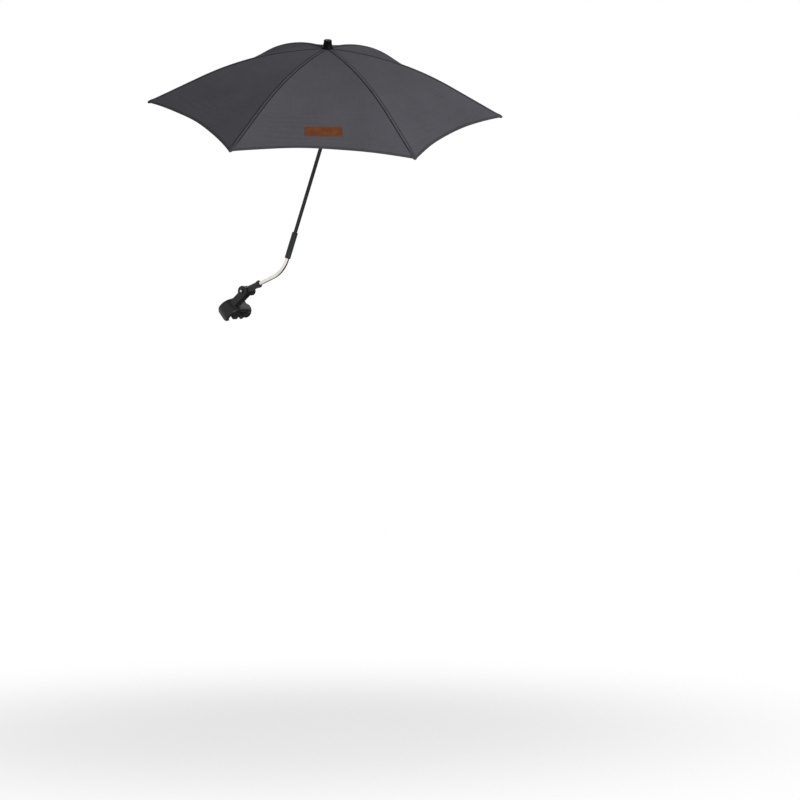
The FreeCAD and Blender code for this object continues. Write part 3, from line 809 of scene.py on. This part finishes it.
def labelOutline(inset):
    wide, high = labelSpec["width"] / 2 - inset, labelSpec["height"] / 2 - inset
    bend = max(labelSpec["corner"] - inset * labelSpec["cornerInset"], labelSpec["leastCorner"])
    steps = labelSpec["cornerSteps"]
    outline = []
    for number, (cx, cy) in enumerate(((1, 1), (-1, 1), (-1, -1), (1, -1))):
        for k in range(steps + 1):
            angle = math.radians(90 * number + 90 * k / steps)
            outline.append((cx * (wide - bend) + bend * math.cos(angle),
                            cy * (high - bend) + bend * math.sin(angle)))
    dense = []
    for k, (x0, y0) in enumerate(outline):
        x1, y1 = outline[(k + 1) % len(outline)]
        number, step = divmod(k, steps + 1)
        count = labelSpec["sideSteps"][number % 2] if step == steps else 1      # a straight side or a corner
        dense += [(x0 + (x1 - x0) * n / count, y0 + (y1 - y0) * n / count) for n in range(count)]
    return dense


def makeLabel():
    thick, border, groove = labelSpec["thick"], labelSpec["border"], labelSpec["groove"]
    # inset from the edge and height over the cloth, with a pressed groove for the thread
    rings = [(0.0008, -0.0002), (0.0, 0.0), (0.0, thick * 0.55), (0.0003, thick * 0.88), (0.0008, thick),
             (border - 0.0006, thick), (border - 0.0003, thick * groove), (border + 0.0003, thick * groove),
             (border + 0.0006, thick), (0.0045, thick * 1.03), (0.0075, thick * 1.04), (0.0102, thick * 1.04)]
    points, uvs = [], []
    for inset, lift in rings:
        for x, y in labelOutline(inset):
            points.append(labelPoint(x, y, lift))
            uvs.append((x, y))
    piece = closedTube("leatherLabel", points, len(points) // len(rings), uvs)
    smoothPiece(piece, "tape")
    finishWith(piece, finishes["leather"])
    return piece


def makeLabelStitches():
    path = labelOutline(labelSpec["border"])
    lift = labelSpec["thick"] * labelSpec["threadLift"]
    normal = panelNormal(labelSpec["panel"], labelSpec["normalAt"], labelSpec["radius"])
    stitches, reach = [], 0.0
    for (x0, y0), (x1, y1) in zip(path, path[1:] + path[:1]):
        span = math.hypot(x1 - x0, y1 - y0)
        while reach < span:
            ends = []
            for step in (-0.5, 0.5):
                share = (reach + step * labelSpec["stitchLength"]) / span
                ends.append(labelPoint(x0 + (x1 - x0) * share, y0 + (y1 - y0) * share, lift))
            stitches.append((*ends, normal))
            reach += labelSpec["stitch"]
        reach -= span
    return stitchMesh("labelStitches", stitches, labelSpec["stitchRadius"], "labelThread")


label = makeLabel()
for trim in (label, makeLabelStitches()):
    foldWithRib(trim, labelSpec["panel"], labelSpec["side"])
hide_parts("leather_label")
print("label sewn on")


# Sewn pocket that holds the end of each rib

pocketSpec = {"sides": 20, "squareness": 3, "hang": 0.3, "hangUntil": 0.350, "rings": [
    # radius, half width, half height, depth
    (0.3340, 0.0050, 0.0004, 0.0003), (0.3344, 0.0055, 0.0009, 0.0004), (0.3400, 0.0056, 0.0014, 0.0008),
    (0.3460, 0.0055, 0.0022, 0.0014), (0.3510, 0.0051, 0.0030, 0.0018), (0.3547, 0.0043, 0.0032, 0.0019),
    (0.3572, 0.0031, 0.0027, 0.0018), (0.3586, 0.0019, 0.0018, 0.0017), (0.3591, 0.0008, 0.0008, 0.0016)]}


def ribSpot(rib, radius, aside, depth):
    slope = math.radians(canopySpec["hemSlope"])
    level = Vector((radius, 0, -clothDrop(radius)))
    return ribBases[rib] @ (level + Vector((-math.sin(slope) * depth, aside, -math.cos(slope) * depth)))


def makePocket(rib):
    sides, power = pocketSpec["sides"], pocketSpec["squareness"]
    points, uvs = [], []
    for radius, wide, high, depth in pocketSpec["rings"]:
        hang = pocketSpec["hang"] if radius < pocketSpec["hangUntil"] else 0      # drapes over the rib
        for k in range(sides):
            angle = 2 * math.pi * k / sides
            x, y = math.cos(angle), math.sin(angle)
            square = (abs(x) ** power + abs(y) ** power) ** (-1 / power)      # rounded box section
            aside, up = wide * x * square, high * y * square
            points.append(ribSpot(rib, radius, aside, depth - up + hang * abs(aside)))
            uvs.append((aside, radius * canopySpec["alongCloth"] + up))
    piece = closedTube("tipPocket%d" % (rib + 1), points, sides, uvs)
    applyModifier(piece, "SUBSURF", levels=1, render_levels=1)
    smoothPiece(piece, "thread")
    finishWith(piece, finishes["hem"])
    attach(piece, "rib_%d" % (rib + 1))
    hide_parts("rib_tip_%d" % (rib + 1))


for rib in range(canopySpec["ribs"]):
    makePocket(rib)
print("tip pockets sewn:", canopySpec["ribs"])


# Turned pieces: a circle drawn up ring by ring, then set on its axis

def axisBasis(origin, axis):
    turned = Vector(axis).normalized().to_track_quat("Z", "Y").to_matrix().to_4x4()
    turned.translation = origin
    return turned


def turnedPiece(name, rings, basis, segments):
    deselectAll()
    radius, height = rings[0]
    bpy.ops.mesh.primitive_circle_add(vertices=segments, radius=radius, fill_type="NGON",
                                      location=(0, 0, height))
    piece = bpy.context.object
    bpy.ops.object.transform_apply(location=True)
    bpy.ops.object.mode_set(mode="EDIT")
    bpy.ops.mesh.select_mode(type="FACE")
    bpy.ops.mesh.select_all(action="SELECT")
    for nextRadius, nextHeight in rings[1:]:
        bpy.ops.mesh.extrude_region_move(TRANSFORM_OT_translate={"value": (0, 0, nextHeight - height)})
        growth = nextRadius / radius
        bpy.ops.transform.resize(value=(growth, growth, 1), center_override=(0, 0, 0))
        radius, height = nextRadius, nextHeight
    bpy.ops.object.mode_set(mode="OBJECT")
    outwards(piece)
    piece.matrix_world = basis
    bpy.ops.object.transform_apply(location=True, rotation=True, scale=True)
    piece.name = name
    piece.data.name = name
    smoothPiece(piece, "turned")
    return piece


finialSpec = {"foot": 0.0002, "segments": 64, "rings": [        # radius and height over the cloth
    (0.0106, 0.0), (0.0113, 0.0003), (0.0115, 0.0009), (0.0114, 0.0016), (0.0110, 0.0024),
    (0.0105, 0.0035), (0.0099, 0.0050), (0.0093, 0.0067), (0.0088, 0.0085), (0.0084, 0.0104),
    (0.0082, 0.0123), (0.0081, 0.0139), (0.0081, 0.0153), (0.0080, 0.0161), (0.0077, 0.0166),
    (0.0070, 0.0168), (0.0063, 0.0167), (0.0059, 0.0165), (0.0030, 0.0166), (0.0006, 0.0167)]}
finialBasis = axisBasis(apex + canopyAxis * finialSpec["foot"], canopyAxis)
finial = turnedPiece("finialCap", finialSpec["rings"], finialBasis, finialSpec["segments"])
finishWith(finial, finishes["gloss"])
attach(finial, "canopy_frame")
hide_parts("finial")
print("finial turned")


# Moulded and turned parts: a copy of each solid, its edges softened

softSpec = {    # node: edge width, segments, finish
    "clamp_body": (0.0008, 3, "plastic"), "jaw_pad": (0.0012, 3, "plastic"),
    "clamp_knob": (0.0005, 3, "plastic"), "tilt_knob": (0.0004, 3, "plastic"),
    "arm_socket": (0.0006, 3, "plastic"), "arm_sleeve": (0.0005, 3, "soft"),
    "knuckle_fork": (0.0006, 3, "plastic"), "knuckle_tongue": (0.0006, 3, "plastic"),
    "crown": (0.0003, 2, "plastic"), "runner": (0.0003, 2, "plastic"), "tilt_bolt": (0.0003, 2, "coat"),
    "tilt_nut": (0.0003, 2, "steel"), "knuckle_pin": (0.0003, 2, "steel"),
    "clamp_screw": (0.0003, 2, "steel"), "clamp_insert": (0.0003, 2, "brass"),
    "clamp_lining": (0.0003, 2, "rubber"), "jaw_lining": (0.0003, 2, "rubber"),
    "snap_ring": (0.0001, 2, "steel"),
}
edgeSpec = {"weld": 0.00001, "flat": 0.6, "sharp": 38}      # metres, then degrees between two faces


def mouldedName(node):
    words = node.split("_") + ["moulded"]
    return words[0] + "".join(word.title() for word in words[1:])


def makeSoftened(node, width, segments, finish):
    piece = addToScene(mouldedName(node), nodes[node].data.copy())
    makeActive(piece)
    bpy.ops.object.mode_set(mode="EDIT")
    bpy.ops.mesh.select_all(action="SELECT")
    bpy.ops.mesh.remove_doubles(threshold=edgeSpec["weld"])
    bpy.ops.mesh.dissolve_limited(angle_limit=math.radians(edgeSpec["flat"]))
    bpy.ops.object.mode_set(mode="OBJECT")
    applyModifier(piece, "BEVEL", width=width, segments=segments, limit_method="ANGLE",
                  angle_limit=math.radians(edgeSpec["sharp"]), use_clamp_overlap=True)
    smoothPiece(piece, "moulded")
    finishWith(piece, finishes[finish])
    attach(piece, bodyOf[node])
    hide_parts(node)


for node, (width, segments, finish) in softSpec.items():
    makeSoftened(node, width, segments, finish)
print("softened parts:", len(softSpec))


# Caps in the faces of both knobs, and the bright end of the hinge pin

capSegments = 48
capSpec = {     # rings: radius and height over the face
    "knobCap": {"node": "clamp_knob", "joint": "clamp_screw_turn", "side": 1, "finish": "gloss", "rings": [
        (0.0094, -0.0004), (0.0094, 0.0002), (0.0090, 0.0006), (0.0082, 0.0007), (0.0078, 0.0003),
        (0.0074, 0.0003), (0.0070, 0.0007), (0.0045, 0.0010), (0.0006, 0.0011)]},
    "tiltCap": {"node": "tilt_knob", "joint": "tilt_knob_turn", "side": 1, "finish": "gloss", "rings": [
        (0.0058, -0.0004), (0.0058, 0.0002), (0.0055, 0.0005), (0.0048, 0.0006), (0.0045, 0.0003),
        (0.0042, 0.0003), (0.0039, 0.0006), (0.0020, 0.0008), (0.0004, 0.0008)]},
    "hingePinEnd": {"node": "tilt_bolt", "joint": "arm_tilt", "side": -1, "finish": "steel", "rings": [
        (0.0025, -0.0004), (0.0025, 0.0001), (0.0022, 0.0004), (0.0012, 0.0007), (0.0003, 0.0008)]},
}


def makeCap(name, spec):
    pivot = Vector(joints[spec["joint"]]["pos_m"])
    low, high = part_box(spec["node"])
    face = high[1] if spec["side"] > 0 else low[1]
    basis = axisBasis(Vector((pivot.x, face, pivot.z)), (0, spec["side"], 0))
    cap = turnedPiece(name, spec["rings"], basis, capSegments)
    finishWith(cap, finishes[spec["finish"]])
    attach(cap, bodyOf[spec["node"]])


for name, spec in capSpec.items():
    makeCap(name, spec)
print("caps set:", len(capSpec))


# Thread loops that hold the cloth to each rib

tieSpec = {"radii": (0.105, 0.185, 0.262, 0.318), "loop": 0.0021, "thread": 0.00045, "depth": 0.0021,
           "stretch": 2.2, "step": 0.001, "loopSides": 20, "threadSides": 8}


def makeRibTies(rib):
    loops = []
    aside = ribBases[rib].to_3x3() @ Vector((0, 1, 0))
    for radius in tieSpec["radii"]:
        start, end = (ribBases[rib] @ Vector((spot, 0, -clothDrop(spot)))
                      for spot in (radius - tieSpec["step"], radius + tieSpec["step"]))
        along = (end - start).normalized()
        up = along.cross(aside).normalized()
        deselectAll()
        bpy.ops.mesh.primitive_torus_add(major_radius=tieSpec["loop"], minor_radius=tieSpec["thread"],
                                         major_segments=tieSpec["loopSides"],
                                         minor_segments=tieSpec["threadSides"])
        loop = bpy.context.object
        loop.scale = (1.0, 1.0, tieSpec["stretch"])
        bpy.ops.object.transform_apply(scale=True)
        loop.matrix_world = axisBasis((start + end) / 2 - up * tieSpec["depth"], along)
        bpy.ops.object.transform_apply(location=True, rotation=True)
        loops.append(loop)
    ties = joinPieces(loops, "ribTies%d" % (rib + 1))
    smoothPiece(ties, "thread")
    finishWith(ties, finishes["thread"])
    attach(ties, "rib_%d" % (rib + 1))


for rib in range(canopySpec["ribs"]):
    makeRibTies(rib)
print("rib ties sewn:", canopySpec["ribs"])


# Floor, light and camera

stageSpec = {"middle": (0.25, -0.02), "floor": -0.86, "floorSize": 12.0, "fadeFrom": 0.1, "fadeTo": 1.5,
             "fadeStart": 0.45, "shade": 0.92, "rough": 0.9, "gleam": 0.1, "worldLight": 0.325,
             "lightAim": 0.3}
white = (1, 1, 1, 1)


def seenRays(tree):
    # 1 where the background itself is seen, straight, in metal or through glass
    path = addNode(tree, "ShaderNodeLightPath").outputs
    return addMath(tree, "MAXIMUM", path["Is Camera Ray"],
                   addMath(tree, "MAXIMUM", path["Is Glossy Ray"], path["Is Transmission Ray"]))


def makeFloor():
    centre = (*stageSpec["middle"], stageSpec["floor"])
    deselectAll()
    bpy.ops.mesh.primitive_plane_add(size=stageSpec["floorSize"], location=centre)
    floor = bpy.context.object
    floor.name = "studioFloor"
    bpy.ops.object.transform_apply(location=True)
    material, tree, shader = newFinish("paleFloor", Base_Color=(stageSpec["shade"],) * 3 + (1,),
                                       Roughness=stageSpec["rough"], Specular_IOR_Level=stageSpec["gleam"])
    spot = addNode(tree, "ShaderNodeTexCoord").outputs["Object"]
    away = addNode(tree, "ShaderNodeVectorMath", {0: spot, 1: centre}, operation="DISTANCE").outputs["Value"]
    limits = {"From Min": stageSpec["fadeFrom"], "From Max": stageSpec["fadeTo"],
              "To Min": stageSpec["fadeStart"]}
    fade = addNode(tree, "ShaderNodeMapRange", {"Value": away, **limits},
                   interpolation_type="SMOOTHERSTEP").outputs["Result"]
    glow = addNode(tree, "ShaderNodeEmission", {"Color": white, "Strength": 1.0})
    blend = addNode(tree, "ShaderNodeMixShader", {
        0: addMath(tree, "MULTIPLY", fade, seenRays(tree)), 1: shader.outputs[0], 2: glow.outputs[0]})
    tree.links.new(blend.outputs[0], tree.nodes["Material Output"].inputs["Surface"])
    finishWith(floor, material)


def makeWorld():
    world = bpy.data.worlds.new("studioAir")
    bpy.context.scene.world = world
    world.use_nodes = True
    tree = world.node_tree
    background = tree.nodes["Background"]
    background.inputs["Color"].default_value = white
    level = remap(tree, seenRays(tree), (0.0, 1.0), (stageSpec["worldLight"], 1.0))
    tree.links.new(level, background.inputs["Strength"])


# focal length, and where the part's origin is seen, in pixels of the square frame; angles in degrees
cameraSpec = {"focal": 2886.0, "distance": 6.0, "lookDown": 1.55, "turn": 34.9, "frame": 800.0,
              "sensor": 36.0, "clipEnd": 50, "origin": (230.35, 310.45)}


def cameraAxes():
    turn, down = math.radians(cameraSpec["turn"]), math.radians(cameraSpec["lookDown"])
    right = Vector((math.cos(turn), math.sin(turn), 0))
    away = Vector((-math.sin(turn), math.cos(turn), 0))
    up = Vector((0, 0, 1))
    return right, away * math.cos(down) - up * math.sin(down), away * math.sin(down) + up * math.cos(down)


def makeCamera():
    right, forward, up = cameraAxes()
    half = cameraSpec["frame"] / 2
    perPixel = cameraSpec["distance"] / cameraSpec["focal"]
    place = -(forward * cameraSpec["distance"] + right * (cameraSpec["origin"][0] - half) * perPixel
              + up * (half - cameraSpec["origin"][1]) * perPixel)
    data = bpy.data.cameras.new("photoCamera")
    data.sensor_width = cameraSpec["sensor"]
    data.lens = cameraSpec["focal"] / cameraSpec["frame"] * cameraSpec["sensor"]
    data.clip_end = cameraSpec["clipEnd"]
    camera = addToScene("photoCamera", data)
    basis = Matrix((right, up, -forward)).transposed().to_4x4()
    basis.translation = place
    camera.matrix_world = basis
    bpy.context.scene.camera = camera


def besideSet(aim, offset, facing):
    # offset to the right, towards the camera and up, turned so that the facing axis looks at the aim
    right, forward = cameraAxes()[:2]
    place = aim + right * offset[0] - forward * offset[1] + Vector((0, 0, offset[2]))
    return Matrix.Translation(place) @ (aim - place).to_track_quat(facing, "Y").to_matrix().to_4x4()


softboxes = {       # offset, width and height, power
    "keySoftbox": ((1.72, 2.62, 0.72), (1.3, 1.3), 79.0),
    "backSoftbox": ((-0.6, -2.6, 0.9), (1.6, 1.6), 17.0),
}


def makeSoftbox(name, offset, size, power):
    data = bpy.data.lights.new(name, "AREA")
    data.shape = "RECTANGLE"
    data.size, data.size_y = size
    data.energy = power
    lamp = addToScene(name, data)
    lamp.matrix_world = besideSet(Vector((*stageSpec["middle"], stageSpec["lightAim"])), offset, "-Z")


cardSpec = {"aim": (0.12, 0, 0.09), "offset": (0.30, -0.12, -0.31), "size": 1.1, "shade": (0.10, 0.06, 0.045),
            "rough": 0.9}


def makeDarkCard():
    # brown card beside the set, seen only as the dark line in polished metal
    deselectAll()
    bpy.ops.mesh.primitive_plane_add(size=cardSpec["size"])
    card = bpy.context.object
    card.name = "darkCard"
    card.matrix_world = besideSet(Vector(cardSpec["aim"]), cardSpec["offset"], "Z")
    bpy.ops.object.transform_apply(location=True, rotation=True, scale=True)
    finish = newFinish("cardBrown", Base_Color=shaded(cardSpec["shade"]), Roughness=cardSpec["rough"],
                       Specular_IOR_Level=0.0)
    finishWith(card, finish[0])
    card.visible_camera = card.visible_diffuse = card.visible_shadow = card.visible_transmission = False


makeFloor()
makeDarkCard()
makeWorld()
makeCamera()
for name, (offset, size, power) in softboxes.items():
    makeSoftbox(name, offset, size, power)
bpy.context.scene.view_settings.view_transform = "Standard"
print("floor, light and camera set")
